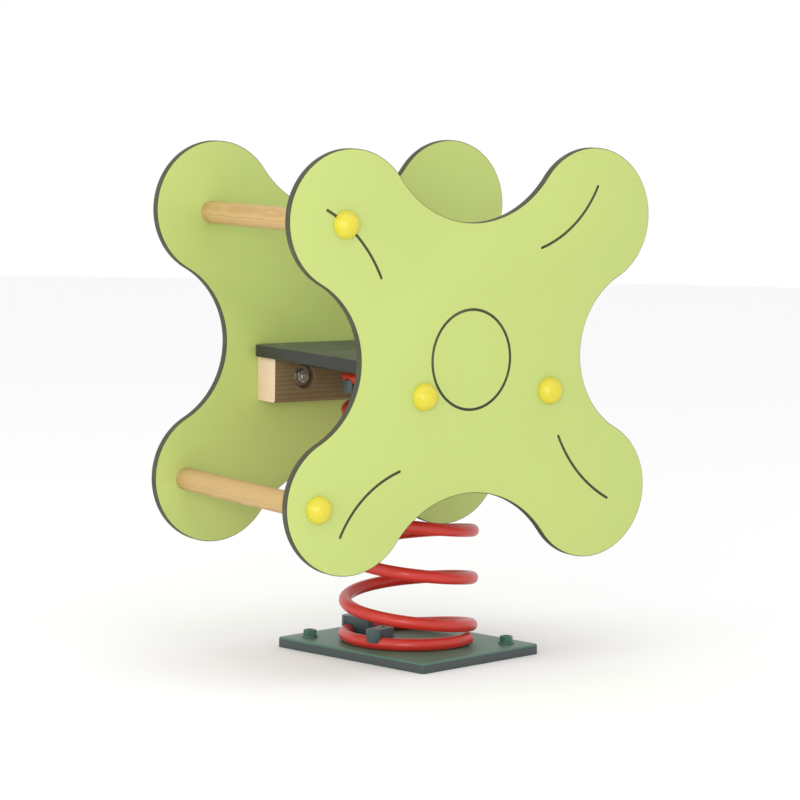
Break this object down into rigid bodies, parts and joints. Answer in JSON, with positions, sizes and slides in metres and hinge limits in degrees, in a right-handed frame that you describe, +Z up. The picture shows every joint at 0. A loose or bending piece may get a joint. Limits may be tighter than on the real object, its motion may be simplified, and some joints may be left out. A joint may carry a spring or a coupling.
{
  "type": "spring seesaw",
  "caption": "Small spring seesaw: lobed side panels round a seat on two wooden beams, with a handle bar and a foot bar, on a coil spring clamped to a ground plate.",
  "frame": {"origin": "on the ground, on the spring's axis", "axes": "+Z up; +X from the handle towards the back of the seat; +Y across, from the left panel to the right one as the rider sits"},
  "size_m": [0.591, 0.415, 0.727],
  "materials": {
    "panel_lime": "satin high-pressure laminate with a dark core that shows at the edge and in the milled lines",
    "seat_dark": "finely textured dark laminate",
    "beam_pine": "brown stained softwood with pale end grain",
    "bar_pine": "smooth turned pine",
    "spring_red": "glossy powder coat",
    "plate_green": "satin powder coat",
    "nut_green": "painted over with the plate",
    "clamp_teal": "satin powder coat",
    "head_steel": "dark satin powder coat",
    "zinc": "bright zinc plated",
    "insert_brass": "plain",
    "cap_yellow": "moulded nylon, slightly glossy"
  },
  "bodies": {
    "ground_frame": {"base_plate": "plate_green", "anchor_washers": "plate_green", "anchor_nuts": "nut_green", "lower_clamps": "clamp_teal", "lower_clamp_bolts": "clamp_teal", "spring_bottom_coil": "spring_red"},
    "spring_foot": {"spring_lower_turns": "spring_red"},
    "spring_waist": {"spring_middle_turns": "spring_red"},
    "spring_shoulder": {"spring_upper_turns": "spring_red"},
    "rocker": {"spring_neck_turns": "spring_red", "spring_top_coil": "spring_red", "upper_clamps": "clamp_teal", "upper_clamp_bolts": "clamp_teal", "head_plate": "head_steel", "head_screws": "zinc", "beam_left": "beam_pine", "beam_right": "beam_pine", "seat_plate": "seat_dark", "seat_screws": "zinc", "side_panel_left": "panel_lime", "side_panel_right": "panel_lime", "handle_bar": "bar_pine", "foot_bar": "bar_pine", "bar_inserts": "insert_brass", "bar_screws": "zinc", "beam_bolts": "zinc", "beam_washers": "zinc", "beam_nuts": "zinc", "cap_collars": "cap_yellow", "cap_domes_left": "cap_yellow", "cap_domes_right": "cap_yellow"}
  },
  "joints": [
    {"name": "bounce", "type": "slide", "parent": "ground_frame", "child": "spring_foot", "axis": [0, 0, 1], "range_m": [-0.025, 0.01], "stiffness_N_per_m": 18000, "springref_m": 0.013, "deforming": ["spring_lower_turns"]},
    {"name": "rock", "type": "hinge", "parent": "spring_foot", "child": "spring_waist", "pos_m": [0, 0, 0.1673], "axis": [0, 1, 0], "range_deg": [-20, 20], "stiffness_Nm_per_rad": 450, "springref_deg": 0.38, "deforming": ["spring_middle_turns"]},
    {"name": "sway", "type": "hinge", "parent": "spring_waist", "child": "spring_shoulder", "pos_m": [0, 0, 0.2527], "axis": [1, 0, 0], "range_deg": [-10, 10], "stiffness_Nm_per_rad": 450, "springref_deg": 0.05, "deforming": ["spring_upper_turns"]},
    {"name": "twist", "type": "hinge", "parent": "spring_shoulder", "child": "rocker", "pos_m": [0, 0, 0.3382], "axis": [0, 0, 1], "range_deg": [-8, 8], "stiffness_Nm_per_rad": 300, "deforming": ["spring_neck_turns"]}
  ]
}
